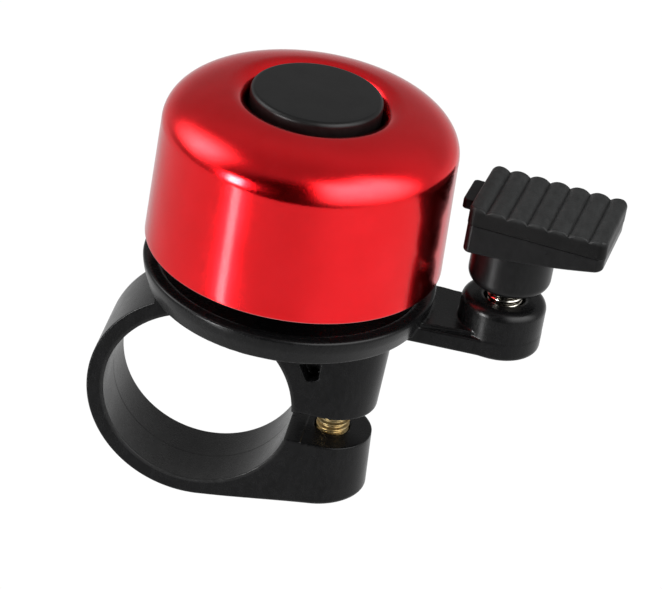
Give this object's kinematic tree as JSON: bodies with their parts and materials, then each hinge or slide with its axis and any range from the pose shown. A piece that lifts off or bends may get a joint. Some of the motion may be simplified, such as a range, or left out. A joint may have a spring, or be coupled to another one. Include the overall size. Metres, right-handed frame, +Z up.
{
  "type": "bicycle bell",
  "caption": "Handlebar bell: domed metal gong on a moulded base with a screw clamp and a ribbed thumb striker on a coil spring.",
  "frame": {"origin": "centre of the clamp's bore, halfway along its width", "axes": "+Y along the handlebar, +Z up along the bell's axis, +X towards the striker"},
  "size_m": [0.0568, 0.034, 0.0523],
  "materials": {
    "red_anodised": "bright polished, red anodised",
    "gloss_black_plastic": "glossy moulded",
    "satin_black_plastic": "satin moulded",
    "spring_steel": "bright drawn wire",
    "zinc_steel": "bright zinc plated",
    "yellow_zinc": "yellow zinc plated",
    "black_rubber": "matte"
  },
  "bodies": {
    "base": {"base_body": "gloss_black_plastic", "bell_dome": "red_anodised", "dome_cap": "satin_black_plastic", "dome_screw": "zinc_steel", "dome_washer": "zinc_steel", "damping_washer": "black_rubber", "clamp_nut": "zinc_steel"},
    "strap": {"clamp_strap": "gloss_black_plastic"},
    "screw": {"clamp_screw": "yellow_zinc", "clamp_washer": "zinc_steel"},
    "spring": {"striker_spring": "spring_steel"},
    "striker": {"striker_lever": "satin_black_plastic", "thumb_pad": "satin_black_plastic"}
  },
  "joints": [
    {"name": "striker_sway", "type": "hinge", "parent": "base", "child": "spring", "pos_m": [0.0324, 0, 0.01995], "axis": [1, 0, 0], "range_deg": [-12, 12], "stiffness_Nm_per_rad": 0.055, "deforming": ["striker_spring"]},
    {"name": "striker_tilt", "type": "hinge", "parent": "spring", "child": "striker", "pos_m": [0.0324, 0, 0.01995], "axis": [0, 1, 0], "range_deg": [-6.5, 18], "stiffness_Nm_per_rad": 0.055, "deforming": ["striker_spring"]},
    {"name": "strap_close", "type": "hinge", "parent": "base", "child": "strap", "pos_m": [-0.01078, 0, 0.00549], "axis": [0, -1, 0], "range_deg": [-2.28, 2.28]},
    {"name": "clamp_screw_turn", "type": "hinge", "parent": "strap", "child": "screw", "pos_m": [0.0156, 0, -0.0067], "axis": [0, 0, 1], "range_deg": [-541, 541]}
  ],
  "couplings": [
    {"joint": "clamp_screw_turn", "follows": "strap_close", "ratio": 236.8}
  ]
}
